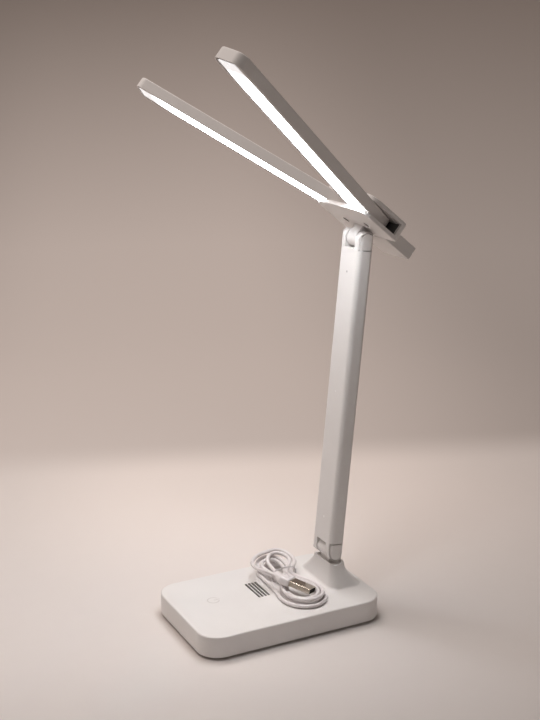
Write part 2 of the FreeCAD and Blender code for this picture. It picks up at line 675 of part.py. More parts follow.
def pivot_sleeves():
    """Two sleeves between the plates, on which the bars turn."""
    hole = PIVOT_SCREW_RADIUS + RUNNING_GAP
    sleeves = []
    for x, y in PIVOT_PLACES:
        sleeve = rod(x, y, PLATE_TOP, COVER_FLOOR, SLEEVE_RADIUS)
        sleeves.append(sleeve.cut(rod(x, y, PLATE_TOP, COVER_FLOOR - 2, hole)))
    return solids_of(sleeves)


def pivot_screws():
    """Two screws from below that hold the sleeves."""
    floor = UNDERSIDE + PIVOT_SEAT_DEPTH - SCREW_HEAD
    head_radius = PIVOT_SEAT_RADIUS - 0.2
    top = COVER_FLOOR - 3
    return solids_of([slotted_screw(x, y, floor, head_radius, PIVOT_SCREW_RADIUS, top)
                      for x, y in PIVOT_PLACES])


# Light bars

def bar_place(side, swing):
    """Place of a light bar: at its pivot in the head, swung outwards."""
    pivot = Vector(side * PIVOT_X, -PIVOT_AHEAD, BAR_FLOOR)
    return HEAD_PLACE.multiply(Placement(pivot, Rotation(Z_AXIS, side * swing)))


def bar_strip(inset, start, z0, z1):
    """Straight strip of a bar, drawn in from its outer wall: cut square at its start, round at its tip."""
    half = BAR_HALF - inset
    tip = inset - BAR_LENGTH
    strip = slab(-half, half, tip, BAR_LENGTH, z0, z1, BAR_TIP_CORNER - inset)
    return strip.cut(block(-BAR_HALF, BAR_HALF, -start, BAR_LENGTH, z0, z1))


def bar_housing():
    """White tray with a closed round tail that turns on the sleeve."""
    body = fuse_all([bar_strip(0, 0, 0, BAR_THICK), rod(0, 0, 0, BAR_THICK, BAR_HALF)])
    body = body.makeFillet(BAR_EDGE, edges_at(body, BAR_THICK))
    pocket = bar_strip(BAR_WALL, LIT_START, 0, BAR_THICK - BAR_WALL)
    bore = rod(0, 0, 0, BAR_THICK, SLEEVE_RADIUS + RUNNING_GAP)
    return body.cut([pocket, bore]).removeSplitter()


def bar_diffuser():
    """Milky cover, sunk a little below the tray's rim and set off by a fine groove."""
    return bar_strip(BAR_WALL + GROOVE, LIT_START + GROOVE, DIFFUSER_RECESS, DIFFUSER_THICK)


def bar_light_guide():
    """Clear plate that spreads the light of the edge strips."""
    return bar_strip(GUIDE_INSET, LIT_START + 4, DIFFUSER_THICK, DIFFUSER_THICK + GUIDE_THICK)


def bar_reflector():
    """White sheet behind the light guide, up to the tray's walls."""
    floor = DIFFUSER_THICK + GUIDE_THICK
    return bar_strip(BAR_WALL + 0.1, LIT_START + 0.2, floor, floor + REFLECTOR_THICK)


def bar_led_strips():
    """Two narrow boards along the light guide's edges, each with a row of small emitters."""
    low, high = DIFFUSER_THICK, DIFFUSER_THICK + GUIDE_THICK
    first, last = -LIT_START - 8, 14 - BAR_LENGTH
    pitch = (last - first) / (EMITTER_COUNT - 1)
    edge_x = BAR_HALF - GUIDE_INSET
    board_x = edge_x + STRIP_GAP
    half = EMITTER_LENGTH / 2
    pieces = [block(board_x, board_x + STRIP_THICK, last - 3, first + 3, low, high)]
    for index in range(EMITTER_COUNT):
        y = first + pitch * index
        pieces.append(block(edge_x + 0.2, board_x, y - half, y + half, low + 0.4, high - 0.4))
    strip = fuse_all(pieces)
    return solids_of([strip, strip.mirror(Vector(0, 0, 0), X_AXIS)])


# Charging lead

def hank_outer(angle):
    """Point of the outermost loop: a figure of eight whose waist is held open."""
    reach = HANK_RIGHT if math.cos(angle) > 0 else HANK_LEFT
    scale = 1.0 + math.sin(angle) ** 2
    open_waist = math.hypot(math.cos(angle), 2 * HANK_WAIST / HANK_SPAN)
    return reach * math.cos(angle) / scale, HANK_SPAN * math.sin(angle) * open_waist / scale


def hank_inset(angle, inset):
    """Point of a loop that is drawn in by a distance along the outer loop's normal."""
    x, y = hank_outer(angle)
    x0, y0 = hank_outer(angle - 0.01)
    x1, y1 = hank_outer(angle + 0.01)
    length = math.hypot(x1 - x0, y1 - y0)
    return x - inset * (y1 - y0) / length, y + inset * (x1 - x0) / length


def smooth_rise(part):
    """Goes from 0 to 1 with level ends."""
    part = min(max(part, 0.0), 1.0)
    return part * part * (3 - 2 * part)


def hank_fan(x, y):
    """Point of the left lobe after its middle line is bent into an arc towards the rear."""
    radius = HANK_LEFT / math.radians(HANK_FAN_DEG)
    angle = -x / radius
    return (y - radius) * math.sin(angle), radius + (y - radius) * math.cos(angle)


def hank_point(turn):
    """Centre of the lead after a number of turns: inwards on the lower layer, outwards on the upper.

    The left lobe rises from the base, and the upper layer's left lobe is fanned out to the rear.
    """
    half = HANK_LOOPS / 2
    inset = LEAD_STEP * (turn if turn < half else HANK_LOOPS - turn)
    x, y = hank_inset(math.radians(HANK_START_DEG) + 2 * math.pi * turn, inset)
    climb = smooth_rise((turn - half + 0.25) / 0.5)
    if turn > half and x < 0:
        x, y = hank_fan(x, y)
    rise = math.tan(math.radians(HANK_LIFT_DEG)) * 0.5 * (math.hypot(x, HANK_LIFT_BLEND) - x)
    return Vector(HANK_X + x, HANK_Y + y, LEAD_FLOOR + LAYER_STEP * climb + rise)


def lead_points():
    """Centre points of the whole lead, from the lamp's plug through the loops to the charger's plug."""
    start = LAMP_PLUG_REAR
    away = lamp_plug_place().Rotation.multVec(X_AXIS)
    points = [start, start - away * LEAD_DIAMETER]
    points += [Vector(x, y, LEAD_FLOOR) for x, y in ((-34.5, 7.3), (-26.0, 5.6), (-8.0, 5.1), (5.0, 4.2))]
    last = HANK_LOOPS - (HANK_START_DEG - HANK_END_DEG) / 360.0
    count = round(last * POINTS_PER_LOOP)
    points += [hank_point(last * index / count) for index in range(count + 1)]
    place = charger_plug_place()
    rear = place.Base
    ahead = place.Rotation.multVec(X_AXIS)
    points += [Vector(-45.0, 6.0, LEAD_FLOOR + 14.2), Vector(-36.0, -0.4, LEAD_FLOOR + 12.4)]
    points.append(Vector(-25.0, -2.2, LEAD_FLOOR + 12.0))
    points += [Vector(-15.0, -2.0, rear.z + 0.4), rear - ahead * (2 * LEAD_DIAMETER), rear]
    return points


def arc_or_line(start, tangent, end):
    """Arc that leaves a point along a tangent and reaches another point, or the line if that is straight."""
    chord = end - start
    along = Vector(chord).normalize()
    side = tangent - along * tangent.dot(along)
    if side.Length < 1e-4:
        return Part.LineSegment(start, end).toShape()
    half_angle = math.atan2(side.Length, tangent.dot(along)) / 2
    sagitta = chord.Length / 2 * math.tan(half_angle)
    return Part.Arc(start, start + chord * 0.5 + side.normalize() * sagitta, end).toShape()


def smooth_wire(points):
    """Path of tangent arcs, two between neighbouring points, with the first and last runs straight."""
    tangents = [points[1] - points[0]]
    tangents += [after - before for before, after in zip(points[:-2], points[2:])]
    tangents.append(points[-1] - points[-2])
    tangents[1] = Vector(tangents[0])
    tangents[-2] = Vector(tangents[-1])
    tangents = [tangent.normalize() for tangent in tangents]
    edges = []
    for start, end, first, last in zip(points[:-1], points[1:], tangents[:-1], tangents[1:]):
        gap = end - start
        bend = 2 * (1 - first.dot(last))
        lean = gap.dot(first + last)
        reach = gap.dot(gap) / (lean + math.sqrt(lean * lean + bend * gap.dot(gap)))
        middle = (start + first * reach + end - last * reach) * 0.5
        edges.append(arc_or_line(start, first, middle))
        edges.append(arc_or_line(end, last * -1, middle).reversed())
    return Part.Wire(edges)


def round_tube(points, radius):
    """Round solid along the smooth path through the points."""
    section = Part.Wire([Part.makeCircle(radius, points[0], points[1] - points[0])])
    return smooth_wire(points).makePipeShell([section], True, False)


def charging_lead():
    """One unbroken tube: straight strand, waisted loops on two layers, and the end at the charger's plug."""
    points = lead_points()
    tube = round_tube(points, LEAD_RADIUS)
    path = smooth_wire(points)
    radii = [edge.Curve.Radius for edge in path.Edges if hasattr(edge.Curve, "Radius")]
    section = math.pi * LEAD_RADIUS ** 2
    print("lead length %.0f, tightest radius %.1f" % (path.Length, min(radii)))
    print("lead least gap to itself %.2f, volume over section times length %.4f"
          % (least_gap(path), tube.Volume / (section * path.Length)))
    return tube


def least_gap(path):
    """Least gap between runs of the lead that lie more than four diameters apart along it."""
    samples = path.discretize(Distance=1.0)
    apart = int(4 * LEAD_DIAMETER)
    return min(point.distanceToPoint(other) for index, point in enumerate(samples)
               for other in samples[index + apart:]) - LEAD_DIAMETER


def lead_tie():
    """Flat band round the hank's waist."""
    inner = rounded_wire(-TIE_HALF, TIE_HALF, TIE_LOW, TIE_HIGH, 2.4)
    half = TIE_HALF + TIE_THICK
    outer = rounded_wire(-half, half, TIE_LOW - TIE_THICK, TIE_HIGH + TIE_THICK, 3.2)
    along = Vector(0, 0, TIE_WIDTH)
    band = Part.Face(outer).extrude(along).cut(Part.Face(inner).extrude(along))
    turn = Rotation(Z_AXIS, 90).multiply(Rotation(X_AXIS, 90))
    return band.transformed(Placement(Vector(HANK_X - TIE_WIDTH / 2, TIE_Y, 0), turn).toMatrix(), True)


def plug_grip(size, corner, sleeve, lift):
    """Moulded plug grip along x, with round edges and a short sleeve for the lead at its rear."""
    length, width, thick = size
    low, high = lift - thick / 2, lift + thick / 2
    body = slab(sleeve, length, -width / 2, width / 2, low, high, corner)
    body = body.makeFillet(1.2, edges_at(body, low) + edges_at(body, high))
    collar = Part.makeCylinder(LEAD_RADIUS + PLUG_SLEEVE, sleeve + 2, Vector(0, 0, 0), X_AXIS)
    collar = collar.common(block(0, length, -width, width, min(low, -LEAD_RADIUS), thick))
    return fuse_all([body, collar])


def plug_shell(start, size, corner, lift):
    """Open metal plug shell along x."""
    length, width, thick = size
    faces = []
    for inset in (0, PLUG_WALL):
        half_y, half_z = width / 2 - inset, thick / 2 - inset
        faces.append(Part.Face(rounded_wire(-half_y, half_y, -half_z, half_z, corner - inset)))
    along = Vector(0, 0, length)
    shell = faces[0].extrude(along).cut(faces[1].extrude(along))
    turn = Rotation(Y_AXIS, 90).multiply(Rotation(Z_AXIS, 90))
    return shell.transformed(Placement(Vector(start, 0, lift), turn).toMatrix(), True)


def charger_plug_place():
    """Frame of the charger's plug: its x axis runs from the grip's rear to the shell's open end."""
    turn = Rotation(Z_AXIS, CHARGER_PLUG_TURN).multiply(Rotation(Y_AXIS, CHARGER_PLUG_DIP))
    turn = turn.multiply(Rotation(X_AXIS, CHARGER_PLUG_ROLL))
    length = CHARGER_GRIP[0] + CHARGER_SHELL[0]
    return Placement(CHARGER_PLUG_END - turn.multVec(X_AXIS) * length, turn)


def charger_plug_grip():
    """White moulded grip of the charger's plug."""
    return plug_grip(CHARGER_GRIP, 3.0, 4.0, 0)


def charger_plug_shell():
    """Flat metal shell of the charger's plug with two latch windows in its lower face."""
    shell = plug_shell(CHARGER_GRIP[0], CHARGER_SHELL, 0.6, 0)
    x0 = CHARGER_GRIP[0] + LATCH_AHEAD
    half = LATCH_SIZE / 2
    windows = [block(x0, x0 + LATCH_SIZE, y - half, y + half, -CHARGER_SHELL[2], 0)
               for y in (-LATCH_Y, LATCH_Y)]
    return shell.cut(windows).removeSplitter()


def charger_plug_insert():
    """Contact carrier in the lower half of the charger's plug."""
    length, width, thick = CHARGER_SHELL
    start = CHARGER_GRIP[0]
    inset = PLUG_WALL + FIT_GAP
    half_y, half_z = width / 2 - inset, thick / 2 - inset
    back = block(start, start + 6.5, -half_y, half_y, -half_z, half_z)
    blade = block(start + 6.5, start + length - 0.8, -half_y, half_y, -half_z, 0)
    return fuse_all([back, blade])


def lamp_plug_place():
    """Frame of the lamp's plug, which lies flat on the base under the hank's raised lobe."""
    return Placement(LAMP_PLUG_REAR, Rotation(Z_AXIS, LAMP_PLUG_TURN))


def lamp_plug_grip():
    """White moulded grip of the lamp's plug, which rests on the base."""
    return plug_grip(LAMP_GRIP, 2.6, 3.0, LAMP_PLUG_LIFT)


def lamp_plug_shell():
    """Oval metal shell of the lamp's plug."""
    return plug_shell(LAMP_GRIP[0], LAMP_SHELL, LAMP_SHELL[2] / 2 * OVAL_END, LAMP_PLUG_LIFT)


def main():
    """Build and write every sub-part."""
    os.makedirs("parts", exist_ok=True)

    save("base_upper_shell", base_upper_shell())
    save("base_bottom_cover", base_bottom_cover())
    save("rubber_feet", rubber_feet())
    save("base_screws", base_screws())
    save("counterweight_plate", counterweight_plate())
    save("battery_pack", battery_pack())
    save("control_board", control_board())
    save("charging_port", charging_port())
    save("touch_electrode", touch_electrode())
    save("base_wires", base_wires())
    save("touch_mark", touch_mark())
    save("vent_backing", vent_backing())
    save("lower_hinge_tongue", lower_hinge_tongue())

    save("post_channel", post_channel(), POST_PLACE)
    save("post_back_cover", post_back_cover(), POST_PLACE)
    save("post_core_strip", post_core_strip(), POST_PLACE)
    save("post_harness", post_harness(), POST_PLACE)
    for name, end, axis in (("lower", -1, 0.0), ("upper", 1, POST_LENGTH)):
        save(name + "_hinge_pin", hinge_pin(axis), POST_PLACE)
        save(name + "_hinge_washers", hinge_washers(axis), POST_PLACE)
        save(name + "_hinge_caps", hinge_caps(end), POST_PLACE)

    save("bracket_lower_plate", bracket_lower_plate(), HEAD_PLACE)
    save("bracket_upper_cover", bracket_upper_cover(), HEAD_PLACE)
    save("head_stop_pad", head_stop_pad(), HEAD_PLACE)
    save("rear_tab", rear_tab(), HEAD_PLACE)
    save("pivot_sleeves", pivot_sleeves(), HEAD_PLACE)
    save("pivot_screws", pivot_screws(), HEAD_PLACE)

    for name, side, swing in (("left_bar", -1, SWING_LEFT), ("right_bar", 1, SWING_RIGHT)):
        place = bar_place(side, swing)
        save(name + "_housing", bar_housing(), place)
        save(name + "_diffuser", bar_diffuser(), place)
        save(name + "_light_guide", bar_light_guide(), place)
        save(name + "_reflector", bar_reflector(), place)
        save(name + "_led_strips", bar_led_strips(), place)

    save("charging_lead", charging_lead())
    save("lead_tie", lead_tie())
    save("charger_plug_grip", charger_plug_grip(), charger_plug_place())
    save("charger_plug_shell", charger_plug_shell(), charger_plug_place())
    save("charger_plug_insert", charger_plug_insert(), charger_plug_place())
    save("lamp_plug_grip", lamp_plug_grip(), lamp_plug_place())
    save("lamp_plug_shell", lamp_plug_shell(), lamp_plug_place())


main()
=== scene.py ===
import json
import math

import bpy
import numpy as np
from bpy.props import FloatProperty, FloatVectorProperty, IntProperty, PointerProperty
from mathutils import Matrix, Vector


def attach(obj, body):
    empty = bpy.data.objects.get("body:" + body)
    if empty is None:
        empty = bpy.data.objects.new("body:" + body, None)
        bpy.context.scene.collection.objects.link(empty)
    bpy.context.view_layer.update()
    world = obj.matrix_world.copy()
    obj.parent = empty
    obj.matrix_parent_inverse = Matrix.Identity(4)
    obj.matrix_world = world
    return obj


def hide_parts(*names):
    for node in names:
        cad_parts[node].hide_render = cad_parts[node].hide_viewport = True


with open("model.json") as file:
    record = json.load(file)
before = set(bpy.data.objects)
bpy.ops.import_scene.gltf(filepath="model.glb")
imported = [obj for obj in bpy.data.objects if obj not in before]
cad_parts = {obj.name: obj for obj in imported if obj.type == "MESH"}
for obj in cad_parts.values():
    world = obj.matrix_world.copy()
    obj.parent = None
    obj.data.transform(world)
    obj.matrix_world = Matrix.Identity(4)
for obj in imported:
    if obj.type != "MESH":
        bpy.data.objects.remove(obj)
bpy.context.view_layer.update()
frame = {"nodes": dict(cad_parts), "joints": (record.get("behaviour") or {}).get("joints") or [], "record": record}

bl_info = {
    "name": "Folding desk lamp",
    "version": (1, 0, 0),
    "blender": (4, 5, 0),
    "location": "3D View > Sidebar > Desk Lamp",
    "description": "Finishes a folding two-bar desk lamp and lays out its tied charging lead",
    "category": "Object",
}

NODES = frame["nodes"]
JOINTS = {joint["name"]: joint for joint in frame["joints"]}
SLOT_NODES = {}
for part in frame["record"]["subparts"]:
    SLOT_NODES.setdefault(part["material_slot"], []).append(part["node"])
MM = 0.001


# Settings

class LeadSettings(bpy.types.PropertyGroup):
    """Sizes of the tied charging lead, its plugs and its tie."""
    diameter: FloatProperty(name="Diameter", description="Thickness of the lead's jacket",
                            default=3.2 * MM, unit="LENGTH")
    step: FloatProperty(name="Loop step", description="Distance between the loops of one layer",
                        default=4.0 * MM, unit="LENGTH")
    layer: FloatProperty(name="Layer step", description="Height from one layer of loops to the next",
                         default=4.3 * MM, unit="LENGTH")
    loops: IntProperty(name="Loops", description="Loops of the hank, half of them on each layer", default=4)
    points: IntProperty(name="Points", description="Route points in each loop", default=36)
    floor: FloatProperty(name="Floor", description="Height of the lead's centre where it lies on the base",
                         default=21.2 * MM, unit="LENGTH")
    centre: FloatVectorProperty(name="Centre", description="Middle of the hank's waist on the base", size=2,
                                default=(-11.0 * MM, 20.5 * MM), unit="LENGTH")
    right: FloatProperty(name="Right lobe", description="Reach of the hank's right lobe",
                         default=53.0 * MM, unit="LENGTH")
    left: FloatProperty(name="Left lobe", description="Reach of the hank's raised left lobe",
                        default=36.0 * MM, unit="LENGTH")
    span: FloatProperty(name="Right span", description="Width that sets how full the right lobe is",
                        default=49.0 * MM, unit="LENGTH")
    left_span: FloatProperty(name="Left span", description="Width that sets how full the left lobe is",
                             default=36.0 * MM, unit="LENGTH")
    waist: FloatProperty(name="Waist", description="Half the width of the outer loop at the tie",
                         default=9.0 * MM, unit="LENGTH")
    start: FloatProperty(name="Start", description="Where on the outer loop the hank starts",
                         default=math.radians(-50.0), subtype="ANGLE")
    end: FloatProperty(name="End", description="Where on the outer loop the hank ends",
                       default=math.radians(-165.0), subtype="ANGLE")
    lift: FloatProperty(name="Lift", description="Slope of the raised left lobe",
                        default=math.radians(13.0), subtype="ANGLE")
    fan: FloatProperty(name="Fan", description="How far the upper left lobe is bent to the rear",
                       default=math.radians(50.0), subtype="ANGLE")
    spread: FloatProperty(name="Spread", description="How far the lower left lobe is bent to the front",
                          default=math.radians(20.0), subtype="ANGLE")
    lift_blend: FloatProperty(name="Lift blend", description="Length over which the slope begins",
                              default=7.5 * MM, unit="LENGTH")
    tie_wire: FloatProperty(name="Tie", description="Thickness of the coated wire that ties the hank",
                            default=1.2 * MM, unit="LENGTH")
    tie_size: FloatVectorProperty(name="Tie size", description="Half sizes of the tie's loop", size=2,
                                  default=(10.8 * MM, 6.3 * MM), unit="LENGTH")
    tie_middle: FloatVectorProperty(name="Tie middle", description="Middle of the tie's loop, rear and up",
                                    size=2, default=(19.9 * MM, 26.3 * MM), unit="LENGTH")
    charger_grip: FloatVectorProperty(name="Charger grip", description="Length, width and thickness",
                                      default=(18.0 * MM, 15.0 * MM, 7.4 * MM), unit="LENGTH")
    lamp_grip: FloatVectorProperty(name="Lamp grip", description="Length, width and thickness",
                                   default=(14.0 * MM, 10.2 * MM, 5.4 * MM), unit="LENGTH")
    sleeve: FloatProperty(name="Sleeve", description="Thickness of the grip over the lead",
                          default=0.7 * MM, unit="LENGTH")


class FinishSettings(bpy.types.PropertyGroup):
    """Colours of the lamp's finishes."""
    shell: FloatVectorProperty(name="Shell", description="Satin white of the mouldings", subtype="COLOR",
                               default=(0.82, 0.80, 0.785), min=0.0, max=1.0)
    light: FloatVectorProperty(name="Light", description="Colour of the lit bars", subtype="COLOR",
                               default=(0.95, 0.97, 1.0), min=0.0, max=1.0)
    glow: FloatProperty(name="Glow", description="Strength of the lit bars", default=38.5, min=0.0)
    jacket: FloatVectorProperty(name="Jacket", description="Gloss white of the lead and its grips",
                                subtype="COLOR", default=(0.84, 0.80, 0.80), min=0.0, max=1.0)
    plating: FloatVectorProperty(name="Plating", description="Warm nickel of the plug shells",
                                 subtype="COLOR", default=(0.62, 0.57, 0.49), min=0.0, max=1.0)
    steel: FloatVectorProperty(name="Steel", description="Pins, screws and weights", subtype="COLOR",
                               default=(0.50, 0.50, 0.51), min=0.0, max=1.0)
    blackened: FloatVectorProperty(name="Blackened", description="Blackened screws under the bracket",
                                   subtype="COLOR", default=(0.035, 0.032, 0.030), min=0.0, max=1.0)
    cover: FloatVectorProperty(name="Cover", description="Milky covers of the bars", subtype="COLOR",
                               default=(0.80, 0.77, 0.75), min=0.0, max=1.0)


class StageSettings(bpy.types.PropertyGroup):
    """Floor, lights and camera."""
    floor: FloatVectorProperty(name="Floor", description="Pale floor", subtype="COLOR",
                               default=(0.74, 0.695, 0.67), min=0.0, max=1.0)
    # Painted light: this palest floor colour paints the lamp's light falling on the floor behind the lamp.
    pool: FloatVectorProperty(name="Pool", description="Palest floor, behind the lamp", subtype="COLOR",
                              default=(0.90, 0.83, 0.79), min=0.0, max=1.0)
    distance: FloatVectorProperty(name="Distance", description="Floor further from the lamp", subtype="COLOR",
                                  default=(0.665, 0.61, 0.58), min=0.0, max=1.0)
    backdrop: FloatVectorProperty(name="Backdrop", description="Upper part of the backdrop", subtype="COLOR",
                                  default=(0.25, 0.215, 0.195), min=0.0, max=1.0)
    sky: FloatVectorProperty(name="Ambient", description="Colour of the light from all round",
                             subtype="COLOR", default=(1.0, 0.89, 0.83), min=0.0, max=1.0)
    sky_level: FloatProperty(name="Ambient level", description="Strength of the light from all round",
                             default=0.16, min=0.0)
    flat: FloatProperty(name="Flat", description="Radius of the level floor", default=0.9, unit="LENGTH")
    sweep: FloatProperty(name="Sweep", description="Radius of the sweep from floor to wall", default=1.6,
                         unit="LENGTH")
    camera_place: FloatVectorProperty(name="Camera", description="Place of the camera", subtype="TRANSLATION",
                                      default=(0.8075, -0.4153, 0.4672), unit="LENGTH")
    camera_turn: FloatProperty(name="Turn", description="Side from which the camera looks, from the front",
                               default=math.radians(62.73), subtype="ANGLE")
    camera_dip: FloatProperty(name="Dip", description="How far the camera looks down",
                              default=math.radians(15.41), subtype="ANGLE")
    lens: FloatProperty(name="Lens", description="Focal length on a 36 mm sensor", default=60.68)


# Shapes

def surface(name, grid, caps=True):
    """Mesh object of a grid of points (rows, columns, 3) whose columns close on themselves.

    Every cell of the grid is one face, the first and last rows are closed by a face each, and the faces are
    turned round if the enclosed volume comes out negative.
    """
    rows, columns = grid.shape[:2]
    index = np.arange(rows * columns).reshape(rows, columns)
    ahead = np.roll(index, -1, axis=1)
    faces = np.stack([index[:-1], ahead[:-1], ahead[1:], index[1:]], axis=-1).reshape(-1, 4).tolist()
    if caps:
        faces += [index[0][::-1].tolist(), index[-1].tolist()]
    mesh = bpy.data.meshes.new(name)
    mesh.from_pydata(grid.reshape(-1, 3).tolist(), [], faces)
    corner = grid - grid.mean(axis=(0, 1))
    a, b, c = corner[:-1], np.roll(corner, -1, axis=1)[:-1], corner[1:]
    if np.einsum("ijk,ijk->", a, np.cross(b, c)) < 0:
        mesh.flip_normals()
    mesh.polygons.foreach_set("use_smooth", np.ones(len(mesh.polygons), dtype=bool))
    mesh.update()
    obj = bpy.data.objects.new(name, mesh)
    bpy.context.scene.collection.objects.link(obj)
    return obj


def smoothstep(value, low, high):
    """Rises from 0 at low to 1 at high with level ends."""
    t = np.clip((value - low) / (high - low), 0.0, 1.0)
    return t * t * (3.0 - 2.0 * t)


def rounded_section(angle, half_width, half_height, power):
    """Superellipse section: each coordinate is a half size times a power of the angle's sine or cosine."""
    cosine, sine = np.cos(angle), np.sin(angle)
    return (half_width * np.sign(cosine) * np.abs(cosine) ** (2.0 / power),
            half_height * np.sign(sine) * np.abs(sine) ** (2.0 / power))


# Finishes

class Finish:
    """One node material that ends in a Principled shader. Its methods add nodes and return their outputs."""

    def __init__(self, name, colour, roughness, **constants):
        self.material = bpy.data.materials.new(name)
        self.material.use_nodes = True
        self.tree = self.material.node_tree
        self.shader = self.tree.nodes["Principled BSDF"]
        self.colour = tuple(colour)
        self.set("Base Color", (*self.colour, 1.0))
        self.set("Roughness", roughness)
        for socket, value in constants.items():
            self.set(socket.replace("_", " "), value)
        self.place = self.add("ShaderNodeTexCoord").outputs["Object"]

    def set(self, socket, value):
        self.feed(self.shader.inputs[socket], value)

    def feed(self, socket, value):
        if isinstance(value, bpy.types.NodeSocket):
            self.tree.links.new(value, socket)
        else:
            socket.default_value = value

    def add(self, kind, settings=None, **inputs):
        node = self.tree.nodes.new(kind)
        for name, value in (settings or {}).items():
            setattr(node, name, value)
        for name, value in inputs.items():
            self.feed(node.inputs[name.replace("_", " ")], value)
        return node

    def noise(self, scale, detail=2.0, distortion=0.0, place=None):
        node = self.add("ShaderNodeTexNoise", Vector=place or self.place, Scale=scale, Detail=detail,
                        Distortion=distortion)
        return node.outputs[0]

    def cells(self, scale, place=None, feature="F1"):
        node = self.add("ShaderNodeTexVoronoi", {"feature": feature}, Vector=place or self.place, Scale=scale)
        return node.outputs["Distance"]

    def turned(self, rotation, scale=(1.0, 1.0, 1.0)):
        node = self.add("ShaderNodeMapping", Vector=self.place, Rotation=rotation, Scale=scale)
        return node.outputs["Vector"]

    def distance(self, point):
        node = self.add("ShaderNodeVectorMath", {"operation": "DISTANCE"})
        self.feed(node.inputs[0], self.place)
        self.feed(node.inputs[1], tuple(point))
        return node.outputs["Value"]

    def along(self, origin, axis):
        moved = self.add("ShaderNodeVectorMath", {"operation": "SUBTRACT"})
        self.feed(moved.inputs[0], self.place)
        self.feed(moved.inputs[1], tuple(origin))
        node = self.add("ShaderNodeVectorMath", {"operation": "DOT_PRODUCT"})
        self.feed(node.inputs[0], moved.outputs[0])
        self.feed(node.inputs[1], tuple(axis))
        return node.outputs["Value"]

    def math(self, operation, first, second=0.0):
        node = self.add("ShaderNodeMath", {"operation": operation})
        self.feed(node.inputs[0], first)
        self.feed(node.inputs[1], second)
        return node.outputs[0]

    def span(self, value, low, high, start=0.0, end=1.0, smooth=False):
        kind = "SMOOTHSTEP" if smooth else "LINEAR"
        node = self.add("ShaderNodeMapRange", {"interpolation_type": kind}, Value=value, From_Min=low,
                        From_Max=high, To_Min=start, To_Max=end)
        return node.outputs["Result"]

    def mixed(self, factor, first, second):
        node = self.add("ShaderNodeMix", {"data_type": "RGBA"})
        self.feed(node.inputs[0], factor)
        for socket, colour in ((node.inputs[6], first), (node.inputs[7], second)):
            self.feed(socket, colour if isinstance(colour, bpy.types.NodeSocket) else (*colour, 1.0))
        return node.outputs[2]

    def tone(self, factor, darkest=0.94, lightest=1.02):
        low = [darkest * c for c in self.colour]
        high = [min(1.0, lightest * c) for c in self.colour]
        return self.mixed(factor, low, high)

    def bump(self, height, distance, strength=1.0):
        node = self.add("ShaderNodeBump", Height=height, Distance=distance, Strength=strength)
        self.set("Normal", node.outputs["Normal"])


def satin_moulding(name, colour, marks=()):
    """Satin white plastic: a cloudy tone, a fine moulded grain, uneven sheen and small marks."""
    finish = Finish(name, colour, 0.46, Specular_IOR_Level=0.42)
    cloud = finish.noise(16.0, 4.0, 0.4)
    tone = finish.tone(finish.span(cloud, 0.3, 0.7), 0.965, 1.015)
    specks = finish.span(finish.cells(240.0), 0.03, 0.07, 1.0, 0.0, True)
    rare = finish.span(finish.noise(75.0, 1.0), 0.66, 0.70)
    tone = finish.mixed(finish.math("MULTIPLY", specks, rare), tone, [0.62 * c for c in colour])
    for point, radius, shade in marks:
        spot = finish.span(finish.distance(point), 0.6 * radius, radius, 1.0, 0.0, True)
        tone = finish.mixed(spot, tone, shade)
    finish.set("Base Color", tone)
    finish.set("Roughness", finish.span(finish.noise(42.0, 5.0), 0.25, 0.75, 0.40, 0.52))
    finish.bump(finish.noise(2100.0, 3.0), 0.00002, 0.6)
    return finish.material


def lead_jacket(name, colour):
    """Soft white jacket: glossy, faintly wavy, with greyer handling marks."""
    finish = Finish(name, colour, 0.3, Specular_IOR_Level=0.5, Coat_Weight=0.15, Coat_Roughness=0.2)
    finish.set("Base Color", finish.tone(finish.span(finish.noise(70.0, 4.0, 0.5), 0.3, 0.7), 0.93, 1.02))
    finish.set("Roughness", finish.span(finish.noise(160.0, 3.0), 0.3, 0.7, 0.24, 0.38))
    finish.bump(finish.noise(420.0, 2.0), 0.00005, 0.5)
    return finish.material


def plated_sheet(name, colour):
    """Stamped nickel sheet: fine draw lines, worn sheen and faint scratches."""
    finish = Finish(name, colour, 0.14, Metallic=1.0)
    drawn = finish.noise(900.0, 3.0, 0.0, finish.turned((0.0, 0.0, math.radians(35.0)), (0.06, 1.0, 1.0)))
    finish.set("Base Color", finish.tone(finish.span(finish.noise(260.0, 4.0), 0.3, 0.7), 0.86, 1.06))
    finish.set("Roughness", finish.span(drawn, 0.3, 0.7, 0.10, 0.22))
    finish.bump(drawn, 0.000004, 0.4)
    return finish.material


def turned_steel(name, colour):
    """Plain turned or rolled steel: fine lines and a duller, uneven film."""
    finish = Finish(name, colour, 0.36, Metallic=1.0)
    lines = finish.noise(1500.0, 2.0, 0.0, finish.turned((0.0, 0.0, 0.0), (1.0, 0.05, 1.0)))
    finish.set("Base Color", finish.tone(finish.noise(90.0, 4.0), 0.82, 1.08))
    finish.set("Roughness", finish.span(lines, 0.3, 0.7, 0.28, 0.46))
    finish.bump(lines, 0.00001, 0.5)
    return finish.material


def plain_moulding(name, colour, roughness, grain, depth):
    """Moulded plastic or rubber: mottled tone, patchy sheen and a grain of the given size."""
    finish = Finish(name, colour, roughness)
    finish.set("Base Color", finish.tone(finish.noise(60.0, 4.0), 0.85, 1.1))
    patches = finish.noise(140.0, 3.0)
    finish.set("Roughness", finish.span(patches, 0.3, 0.7, 0.85 * roughness, 1.1 * roughness))
    finish.bump(finish.noise(1.0 / grain, 3.0), depth, 0.7)
    return finish.material


